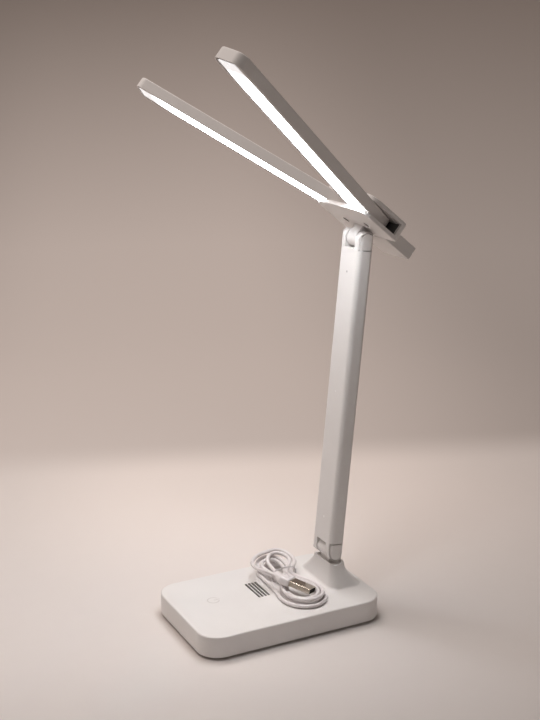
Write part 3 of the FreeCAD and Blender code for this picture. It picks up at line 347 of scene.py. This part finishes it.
def circuit_board(name, colour):
    """Green solder mask over a grid of copper lines and round pads."""
    finish = Finish(name, colour, 0.35, Coat_Weight=0.3)
    line = finish.add("ShaderNodeTexBrick", Vector=finish.place, Scale=180.0, Mortar_Size=0.06)
    pads = finish.span(finish.cells(220.0), 0.16, 0.22, 1.0, 0.0, True)
    lined = finish.mixed(line.outputs["Fac"], colour, (0.12, 0.36, 0.18))
    finish.set("Base Color", finish.mixed(pads, lined, (0.62, 0.52, 0.26)))
    finish.bump(finish.math("ADD", line.outputs["Fac"], pads), 0.00004)
    return finish.material


def wire_jackets(name, first, second):
    """Thin insulated wires in two colours that change across the bundle."""
    finish = Finish(name, first, 0.32)
    side = finish.along((0.0, 0.0, 0.0), (1.0, 0.0, 0.0))
    pick = finish.math("GREATER_THAN", finish.math("SINE", finish.math("MULTIPLY", side, 900.0)), 0.0)
    finish.set("Base Color", finish.mixed(pick, first, second))
    finish.bump(finish.noise(700.0, 2.0), 0.00003, 0.5)
    return finish.material


def black_mesh(name, colour):
    """Woven black mesh behind the slits: two crossed sets of threads."""
    finish = Finish(name, colour, 0.8)
    threads = [finish.add("ShaderNodeTexWave", {"bands_direction": axis}, Vector=finish.place, Scale=330.0)
               for axis in ("X", "Y")]
    woven = finish.math("MAXIMUM", threads[0].outputs["Fac"], threads[1].outputs["Fac"])
    finish.set("Base Color", finish.mixed(woven, [0.4 * c for c in colour], [2.2 * c for c in colour]))
    finish.bump(woven, 0.0002)
    return finish.material


def emitter_board(name, colour):
    """White strip board with a row of small yellow emitters."""
    finish = Finish(name, colour, 0.5)
    chips = finish.span(finish.cells(70.0, feature="F1"), 0.10, 0.16, 1.0, 0.0, True)
    finish.set("Base Color", finish.mixed(chips, colour, (0.86, 0.66, 0.18)))
    finish.bump(chips, 0.0001)
    return finish.material


COVER_TIP_FADE = (32.0 * MM, 11.0 * MM)
# Painted light: the tip keeps a faint glow that stands in for light falling on its unlit end.
COVER_TIP_PAINTED_GLOW = 0.26
COVER_EDGE_FADE = 2.6 * MM
COVER_FACE_FADE = (0.30 * MM, 0.10 * MM)
COVER_FALL = 3.0


def lit_diffuser(name, settings, side):
    """Milky cover, lit from behind: bright along its length, dim at its free tip and edges, and faintly
    dotted. The light falls by a power of the way left to the tip and to each long edge; the faint glow left at the
    tip is painted light, which stands in for the room's light on the unlit tip."""
    finish = Finish(name, settings.cover, 0.38, Emission_Strength=settings.glow)
    pivot, axis, reach, down, face, half = bar_line(side)
    fade_start, fade_end = [reach - fade for fade in COVER_TIP_FADE]
    tip = finish.span(finish.along(pivot, axis), fade_start, fade_end, 1.0, COVER_TIP_PAINTED_GLOW)
    across = finish.math("ABSOLUTE", finish.along(pivot, np.cross(axis, down)))
    edge = finish.span(across, half - COVER_EDGE_FADE, half, 1.0, 0.0)
    fall = finish.math("POWER", finish.math("MULTIPLY", tip, edge), COVER_FALL)
    face_start, face_end = [face - fade for fade in COVER_FACE_FADE]
    front = finish.span(finish.along(pivot, down), face_start, face_end)
    dots = finish.span(finish.cells(420.0), 0.1, 0.5, 1.0, 0.93)
    lit = finish.math("MULTIPLY", fall, finish.math("MULTIPLY", front, dots))
    finish.set("Emission Color", finish.mixed(lit, (0.0, 0.0, 0.0), settings.light))
    finish.set("Base Color", finish.tone(finish.noise(30.0, 3.0), 0.97, 1.02))
    finish.bump(finish.noise(1800.0, 2.0), 0.00002, 0.5)
    return finish.material


def clear_panel(name, colour):
    """Clear edge-lit panel with a dotted rear face."""
    finish = Finish(name, colour, 0.1, Transmission_Weight=0.85, IOR=1.49)
    dots = finish.span(finish.cells(500.0), 0.15, 0.3, 1.0, 0.0, True)
    finish.set("Roughness", finish.span(dots, 0.0, 1.0, 0.08, 0.6))
    finish.bump(dots, 0.00005)
    return finish.material


def bar_line(side):
    """Pivot, long axis and reach of a light bar, the way its cover faces, how far out that face lies, and
    half the cover's width."""
    mesh = NODES[side + "_bar_diffuser"].data
    points = np.empty(len(mesh.vertices) * 3)
    mesh.vertices.foreach_get("co", points)
    joint = JOINTS[side + "_bar_swing"]
    pivot, normal = np.array(joint["pos_m"]), np.array(joint["axis"])
    points = points.reshape(-1, 3) - pivot
    middle = (points.min(axis=0) + points.max(axis=0)) / 2
    axis = middle - normal * middle.dot(normal)
    axis /= np.linalg.norm(axis)
    down = normal * np.sign(middle.dot(normal))
    half = np.abs(points @ np.cross(axis, down)).max()
    return pivot, axis, float((points @ axis).max()), down, float((points @ down).max()), float(half)


def dress(nodes, material):
    """Gives carried-over nodes a finish."""
    for name in nodes:
        mesh = NODES[name].data
        mesh.materials.clear()
        mesh.materials.append(material)


def carry(obj, body, slot, material, *replaced):
    """Lets a new piece ride on a body, take a finish and stand for carried-over nodes."""
    obj.data.materials.append(material)
    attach(obj, body)
    if replaced:
        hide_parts(*replaced)
    return obj


# Lead


def hank_outer(lead, angle):
    """Outermost loop: a figure of eight whose waist is held open, with a longer and fuller right lobe."""
    right = np.cos(angle) > 0
    reach = np.where(right, lead.right, lead.left)
    span = np.where(right, lead.span, lead.left_span)
    scale = 1.0 + np.sin(angle) ** 2
    opened = np.hypot(np.cos(angle), 2 * lead.waist / span)
    return np.stack([reach * np.cos(angle) / scale, span * np.sin(angle) * opened / scale], axis=-1)


def hank_points(lead):
    """Centres of the loops: the outer loop, offset inwards turn by turn on the lower layer and back out on
    the upper one, which it climbs to at the innermost turn. The left lobes' middle lines are bent into arcs,
    the upper one's to the rear and the lower one's to the front, and both slope up."""
    last = lead.loops - (lead.start - lead.end) / (2 * math.pi)
    turn = np.linspace(0.0, last, round(last * lead.points) + 1)
    half = lead.loops / 2
    angle = lead.start + 2 * math.pi * turn
    inset = lead.step * np.where(turn < half, turn, lead.loops - turn)
    along = hank_outer(lead, angle + 0.01) - hank_outer(lead, angle - 0.01)
    along /= np.linalg.norm(along, axis=1, keepdims=True)
    inwards = np.stack([-along[:, 1], along[:, 0]], axis=-1)
    flat = hank_outer(lead, angle) + inset[:, None] * inwards
    layer = lead.layer * smoothstep(turn, half - 0.25, half + 0.25)
    radius = lead.left / np.where(turn > half, lead.fan, -lead.spread)
    bend = -flat[:, 0] / radius
    arm = flat[:, 1] - radius
    fanned = np.stack([arm * np.sin(bend), radius + arm * np.cos(bend)], axis=-1)
    flat = np.where((flat[:, 0] < 0)[:, None], fanned, flat)
    rise = math.tan(lead.lift) * 0.5 * (np.hypot(flat[:, 0], lead.lift_blend) - flat[:, 0])
    return np.column_stack([flat + np.array(lead.centre), lead.floor + layer + rise])


CHARGER_PLUG_TURN = math.radians(35.0)
CHARGER_PLUG_DIP = math.radians(10.5)
CHARGER_PLUG_ROLL = math.radians(-12.0)
CHARGER_PLUG_END = Vector((27.0, 25.5, 27.0)) * MM
CHARGER_PLUG_LENGTH = 37.0 * MM
CHARGER_FRAME = (Matrix.Rotation(CHARGER_PLUG_TURN, 3, "Z") @ Matrix.Rotation(CHARGER_PLUG_DIP, 3, "Y")
                 @ Matrix.Rotation(CHARGER_PLUG_ROLL, 3, "X"))
CHARGER_AHEAD = CHARGER_FRAME @ Vector((1.0, 0.0, 0.0))
CHARGER_REAR = CHARGER_PLUG_END - CHARGER_AHEAD * CHARGER_PLUG_LENGTH
LAMP_PLUG_TURN = math.radians(106.0)
LAMP_PLUG_FRAME = Matrix.Rotation(LAMP_PLUG_TURN, 3, "Z")
LAMP_PLUG_AHEAD = LAMP_PLUG_FRAME @ Vector((1.0, 0.0, 0.0))
LAMP_PLUG_REAR = Vector((-40.0, 15.5, 21.2)) * MM


def lead_route(lead):
    """Route of the whole lead: a straight strand from the lamp's plug, the loops, and the end that comes
    over the waist to the charger's plug."""
    first = [LAMP_PLUG_REAR, LAMP_PLUG_REAR - LAMP_PLUG_AHEAD * lead.diameter, (-0.0345, 0.0073, 0.0212)]
    first += [(-0.0260, 0.0056, 0.0212), (-0.0080, 0.0051, 0.0212), (0.0050, 0.0042, 0.0212)]
    over = [(-0.0408, 0.0088, 0.0337), (-0.0335, 0.0010, 0.0330), (-0.0245, -0.0022, 0.0330)]
    over += [(-0.0150, -0.0020, CHARGER_REAR.z + 0.0004)]
    last = [CHARGER_REAR - CHARGER_AHEAD * 2 * lead.diameter, CHARGER_REAR]
    return np.vstack([np.array(first), hank_points(lead), np.array(over), np.array(last)])


def plug_grip(turn, rear, length, half_width, half_height, sleeve, lift):
    """Moulded grip: rounded sections along its axis, which swell from a round sleeve to a flat oval body.

    The half sizes follow smooth steps along the axis, the section's power grows from a circle's to a rounded
    box's, the axis rises by the lift, and both ends are rounded over.
    """
    along = np.concatenate([np.linspace(0.0, 0.94, 36), np.linspace(0.95, 1.0, 8)])[:, None]
    angle = np.linspace(0.0, 2 * math.pi, 72, endpoint=False)[None, :]
    swell = smoothstep(along, 0.16, 0.56)
    power = 2.0 + 2.2 * smoothstep(along, 0.2, 0.6)
    ends = np.sqrt(np.clip(1.0 - (smoothstep(along, 0.94, 1.0) * 0.45) ** 2, 0.0, 1.0))
    ends = ends * (0.86 + 0.14 * smoothstep(along, 0.0, 0.05))
    wide = (sleeve + (half_width - sleeve) * swell) * ends
    high = (sleeve + (half_height - sleeve) * swell) * ends
    side, up = rounded_section(angle, wide, high, power)
    ahead = np.broadcast_to(along * length, side.shape)
    local = np.stack([ahead, side, up + lift * swell], axis=-1)
    return local @ np.array(turn).T + np.array(rear)


TIE_POWER = 3.0


def tie_loop(lead, wire):
    """Loop of coated wire: a circle carried round a rounded oval that stands across the hank's waist."""
    along = np.linspace(0.0, 2 * math.pi, 120, endpoint=False)
    y, z = rounded_section(along, lead.tie_size[0], lead.tie_size[1], TIE_POWER)
    path = np.column_stack([np.zeros_like(y), y, z])
    ahead = np.roll(path, -1, axis=0) - np.roll(path, 1, axis=0)
    ahead /= np.linalg.norm(ahead, axis=1, keepdims=True)
    out = np.cross(ahead, (1.0, 0.0, 0.0))
    angle = np.linspace(0.0, 2 * math.pi, 20, endpoint=False)
    ring = path[:, None] + wire / 2 * (np.sin(angle)[None, :, None] * out[:, None])
    ring[..., 0] += wire / 2 * np.cos(angle)[None, :]
    ring += np.array([lead.centre[0], *lead.tie_middle])
    return np.concatenate([ring, ring[:1]])


# Small marks down the front of the post: place, radius and colour
POST_MARKS = (
    ((-0.0005, 0.0694, 0.2804), 0.0011, (0.42, 0.40, 0.40)),
    ((-0.0004, 0.0605, 0.1832), 0.0009, (0.95, 0.94, 0.93)),
    ((0.0003, 0.0508, 0.0769), 0.0012, (0.97, 0.96, 0.95)),
)


# Plain mouldings by slot: finish, colour, roughness, size of the grain and its depth
PLAIN_FINISHES = {
    "reflector": ("white_film", (0.88, 0.88, 0.88), 0.4, 2.0 * MM, 0.02 * MM),
    "washer": ("bearing_plastic", (0.72, 0.72, 0.70), 0.4, 0.8 * MM, 0.02 * MM),
    "plug_insert": ("black_carrier", (0.02, 0.02, 0.02), 0.45, 0.6 * MM, 0.02 * MM),
    "rubber": ("foot_rubber", (0.10, 0.10, 0.10), 0.8, 0.5 * MM, 0.06 * MM),
    "battery": ("cell_wrap", (0.16, 0.22, 0.32), 0.3, 4.0 * MM, 0.2 * MM),
    "mark": ("printed_mark", (0.70, 0.67, 0.65), 0.35, 0.5 * MM, 0.01 * MM),
    "tie": ("tie_wire", (0.60, 0.57, 0.57), 0.4, 0.5 * MM, 0.02 * MM),
}


class LAMP_OT_shells(bpy.types.Operator):
    """Finish the white mouldings of the base, post, head and bars"""
    bl_idname = "lamp.shells"
    bl_label = "White mouldings"

    def execute(self, context):
        colour = context.scene.lamp_finish.shell
        dress(SLOT_NODES["white_shell"], satin_moulding("satin_white", colour, POST_MARKS))
        return {"FINISHED"}


class LAMP_OT_bars(bpy.types.Operator):
    """Finish the lit covers and the pieces behind them"""
    bl_idname = "lamp.bars"
    bl_label = "Light bars"

    def execute(self, context):
        settings = context.scene.lamp_finish
        for side in ("left", "right"):
            dress([side + "_bar_diffuser"], lit_diffuser(side + "_milky_cover", settings, side))
        dress(SLOT_NODES["clear_guide"], clear_panel("clear_panel", (0.90, 0.92, 0.93)))
        dress(SLOT_NODES["reflector"], plain_moulding(*PLAIN_FINISHES["reflector"]))
        dress(SLOT_NODES["led_strip"], emitter_board("emitter_board", (0.82, 0.82, 0.78)))
        return {"FINISHED"}


class LAMP_OT_hardware(bpy.types.Operator):
    """Finish the metal, rubber and electrical pieces"""
    bl_idname = "lamp.hardware"
    bl_label = "Hardware"

    def execute(self, context):
        settings = context.scene.lamp_finish
        dress(SLOT_NODES["steel"], turned_steel("turned_steel", settings.steel))
        dress(["pivot_screws"], turned_steel("blackened_screw", settings.blackened))
        dress(SLOT_NODES["plug_metal"], plated_sheet("plated_sheet", settings.plating))
        for slot in ("washer", "plug_insert", "rubber", "battery", "mark"):
            dress(SLOT_NODES[slot], plain_moulding(*PLAIN_FINISHES[slot]))
        dress(SLOT_NODES["board"], circuit_board("circuit_board", (0.03, 0.16, 0.07)))
        dress(SLOT_NODES["copper"], plated_sheet("copper_foil", (0.72, 0.38, 0.22)))
        dress(SLOT_NODES["wire"], wire_jackets("wire_jackets", (0.55, 0.04, 0.03), (0.03, 0.03, 0.03)))
        dress(SLOT_NODES["mesh"], black_mesh("black_mesh", (0.03, 0.028, 0.026)))
        return {"FINISHED"}


class LAMP_OT_lead(bpy.types.Operator):
    """Lay the charging lead in its tied hank and finish its plugs"""
    bl_idname = "lamp.lead"
    bl_label = "Charging lead"

    def execute(self, context):
        lead = context.scene.lamp_lead
        jacket = lead_jacket("gloss_jacket", context.scene.lamp_finish.jacket)
        sleeve = lead.diameter / 2 + lead.sleeve
        length, width, thick = lead.charger_grip
        grid = plug_grip(CHARGER_FRAME, CHARGER_REAR, length, width / 2, thick / 2, sleeve, 0.0)
        charger = carry(surface("charger_grip", grid), "base", "lead_jacket", jacket, "charger_plug_grip")
        length, width, thick = lead.lamp_grip
        lift = (thick - lead.diameter) / 2
        grid = plug_grip(LAMP_PLUG_FRAME, LAMP_PLUG_REAR, length, width / 2, thick / 2, sleeve, lift)
        lamp = carry(surface("lamp_grip", grid), "base", "lead_jacket", jacket, "lamp_plug_grip")
        coating = plain_moulding(*PLAIN_FINISHES["tie"])
        tie = surface("hank_tie", tie_loop(lead, lead.tie_wire), caps=False)
        carry(tie, "base", "tie", coating, "lead_tie")
        route = lead_route(lead)
        curve = bpy.data.curves.new("charging_cord", "CURVE")
        curve.dimensions = "3D"
        curve.bevel_depth = lead.diameter / 2
        curve.bevel_resolution = 5
        curve.resolution_u = 4
        curve.use_fill_caps = True
        spline = curve.splines.new("NURBS")
        spline.points.add(len(route) - 1)
        spline.points.foreach_set("co", np.column_stack([route, np.ones(len(route))]).ravel())
        spline.order_u = 3
        spline.use_endpoint_u = True
        cord = bpy.data.objects.new("charging_cord", curve)
        context.scene.collection.objects.link(cord)
        carry(cord, "base", "lead_jacket", jacket, "charging_lead")
        return {"FINISHED"}


class LAMP_OT_stage(bpy.types.Operator):
    """Add the floor, the lights and the camera"""
    bl_idname = "lamp.stage"
    bl_label = "Stage"

    def execute(self, context):
        stage = context.scene.lamp_stage
        open_side = math.atan2(stage.camera_place[1], stage.camera_place[0])
        floor = surface("floor", bowl(stage.flat, stage.sweep, open_side), caps=False)
        floor.data.materials.append(backdrop_paper("backdrop_paper", stage))
        add_lights(context, stage)
        add_camera(context, stage)
        context.scene.view_settings.view_transform = "Standard"
        return {"FINISHED"}


def bowl(flat, sweep, open_side):
    """Floor that is flat out to a radius and then sweeps up along a quarter circle, but for the open side."""
    radius = np.concatenate([[0.0001], np.linspace(0.1, flat, 8)])
    turn = np.linspace(0.0, math.pi / 2, 33)[1:]
    out = np.concatenate([radius, flat + sweep * np.sin(turn)])
    up = np.concatenate([np.zeros_like(radius), sweep * (1.0 - np.cos(turn))])
    angle = np.linspace(0.0, 2 * math.pi, 96, endpoint=False)
    closed = smoothstep(-np.cos(angle - open_side), -0.7, 0.3)
    return np.stack([out[:, None] * np.cos(angle), out[:, None] * np.sin(angle),
                     up[:, None] * closed[None, :]], axis=-1)


# Ways on the floor, away from the camera and across its view, and where the paper's tones, the painted light
# behind the lamp and the painted shade in front of it change
BACK = (-0.935, 0.354, 0.0)
SIDE = (0.354, 0.935, 0.0)
UP = (0.0, 0.0, 1.0)
HERE = (0.0, 0.0, 0.0)
# Painted light: middle and reach of the palest patch, which paints the lamp's light on the floor behind it.
PAINTED_LIGHT_POOL_PLACE = (-0.270, 0.134, 0.0)
PAINTED_LIGHT_POOL_REACH = (0.10, 0.34)
FLOOR_EDGE = (0.33, 0.44)
# Painted shade: the floor is darker in a strip in front of the lamp, where less light reaches it, and pale again
# beyond the camera's view.
PAINTED_SHADE_BAND_NEAR = (-0.34, -0.06)
PAINTED_SHADE_BAND_FAR = (-0.60, -0.22)
PAINTED_SHADE_BAND_TONE = 0.66
RIM_MIDDLE = -0.08
RIM_REACH = (0.15, 0.60)
RIM_TONE = 0.70
WALL_RISE = (0.07, 0.62)


def backdrop_paper(name, stage):
    """Matt paper: palest in a patch of painted light behind the lamp, darker in a strip of painted shade in front,
    and beyond a soft edge behind with a tone of its own, which deepens to its sides and up the sweep."""
    finish = Finish(name, stage.floor, 0.85, Specular_IOR_Level=0.2)
    back = finish.along(HERE, BACK)
    out = finish.span(back, *FLOOR_EDGE, smooth=True)
    # Painted shade: a darker strip of floor in front of the lamp.
    ahead = finish.span(back, *PAINTED_SHADE_BAND_NEAR, 1.0, 0.0, True)
    beyond = finish.span(back, *PAINTED_SHADE_BAND_FAR, 0.0, 1.0, True)
    painted_shade_band = finish.math("MULTIPLY", ahead, beyond)
    # Painted light: the floor is palest round this place, where the lamp's light falls.
    pool = finish.span(finish.distance(PAINTED_LIGHT_POOL_PLACE), *PAINTED_LIGHT_POOL_REACH, smooth=True)
    near = finish.mixed(pool, stage.pool, finish.tone(finish.noise(55.0, 5.0), 0.985, 1.01))
    near = finish.mixed(painted_shade_band, near, [PAINTED_SHADE_BAND_TONE * c for c in stage.floor])
    side = finish.math("ABSOLUTE", finish.along([RIM_MIDDLE * c for c in SIDE], SIDE))
    rim = finish.span(side, *RIM_REACH, smooth=True)
    wall = finish.mixed(rim, stage.distance, [RIM_TONE * c for c in stage.distance])
    up = finish.span(finish.along(HERE, UP), *WALL_RISE)
    finish.set("Base Color", finish.mixed(up, finish.mixed(out, near, wall), stage.backdrop))
    finish.bump(finish.noise(900.0, 2.0), 0.00002, 0.4)
    return finish.material


# Soft lamps: name, place, target, size and power
SOFTBOXES = (
    ("overhead_softbox", (-0.30, -0.25, 1.40), (0.0, 0.0, 0.1), 1.0, 9.0),
    ("front_softbox", (-0.9, -1.1, 0.9), (0.0, 0.0, 0.15), 0.7, 2.6),
    ("backdrop_softbox", (-0.70, 0.38, 1.55), (-1.90, 1.00, 0.45), 0.8, 11.0),
)


def add_lights(context, stage):
    """Soft lamps from above, and an even light from all round."""
    for name, place, target, size, power in SOFTBOXES:
        light = bpy.data.lights.new(name, "AREA")
        light.shape = "DISK"
        light.size = size
        light.energy = power
        light.color = stage.sky
        lamp = bpy.data.objects.new(name, light)
        lamp.location = place
        lamp.rotation_euler = (Vector(target) - Vector(place)).to_track_quat("-Z", "Y").to_euler()
        context.scene.collection.objects.link(lamp)
    world = bpy.data.worlds.new("studio")
    world.use_nodes = True
    tree = world.node_tree
    background = tree.nodes["Background"]
    background.inputs["Color"].default_value = (*stage.sky, 1.0)
    background.inputs["Strength"].default_value = stage.sky_level
    paper = tree.nodes.new("ShaderNodeBackground")
    paper.inputs["Color"].default_value = (*stage.backdrop, 1.0)
    seen = tree.nodes.new("ShaderNodeMixShader")
    tree.links.new(tree.nodes.new("ShaderNodeLightPath").outputs["Is Camera Ray"], seen.inputs[0])
    tree.links.new(background.outputs[0], seen.inputs[1])
    tree.links.new(paper.outputs[0], seen.inputs[2])
    tree.links.new(seen.outputs[0], tree.nodes["World Output"].inputs["Surface"])
    context.scene.world = world


def add_camera(context, stage):
    """Camera at the place and the angles of the settings."""
    camera = bpy.data.cameras.new("camera")
    camera.lens = stage.lens
    camera.sensor_width = 36.0
    camera.clip_start = 0.01
    eye = bpy.data.objects.new("camera", camera)
    back = Vector((math.sin(stage.camera_turn) * math.cos(stage.camera_dip),
                   -math.cos(stage.camera_turn) * math.cos(stage.camera_dip), math.sin(stage.camera_dip)))
    eye.location = stage.camera_place
    eye.rotation_euler = (-back).to_track_quat("-Z", "Y").to_euler()
    context.scene.collection.objects.link(eye)
    context.scene.camera = eye


OPERATORS = (LAMP_OT_shells, LAMP_OT_bars, LAMP_OT_hardware, LAMP_OT_lead, LAMP_OT_stage)


class LAMP_PT_panel(bpy.types.Panel):
    """Buttons and settings of the desk lamp"""
    bl_label = "Desk Lamp"
    bl_idname = "LAMP_PT_panel"
    bl_space_type = "VIEW_3D"
    bl_region_type = "UI"
    bl_category = "Desk Lamp"

    def draw(self, context):
        for operator in OPERATORS:
            self.layout.operator(operator.bl_idname)
        for group in (context.scene.lamp_finish, context.scene.lamp_lead, context.scene.lamp_stage):
            box = self.layout.box()
            for name in group.__annotations__:
                box.prop(group, name)


CLASSES = (LeadSettings, FinishSettings, StageSettings, *OPERATORS, LAMP_PT_panel)


def register():
    for cls in CLASSES:
        bpy.utils.register_class(cls)
    bpy.types.Scene.lamp_lead = PointerProperty(type=LeadSettings)
    bpy.types.Scene.lamp_finish = PointerProperty(type=FinishSettings)
    bpy.types.Scene.lamp_stage = PointerProperty(type=StageSettings)


def unregister():
    for name in ("lamp_lead", "lamp_finish", "lamp_stage"):
        delattr(bpy.types.Scene, name)
    for cls in reversed(CLASSES):
        bpy.utils.unregister_class(cls)


def main():
    """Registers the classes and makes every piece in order."""
    register()
    bpy.ops.lamp.shells()
    bpy.ops.lamp.bars()
    bpy.ops.lamp.hardware()
    bpy.ops.lamp.lead()
    bpy.ops.lamp.stage()


if __name__ == "__main__":
    main()
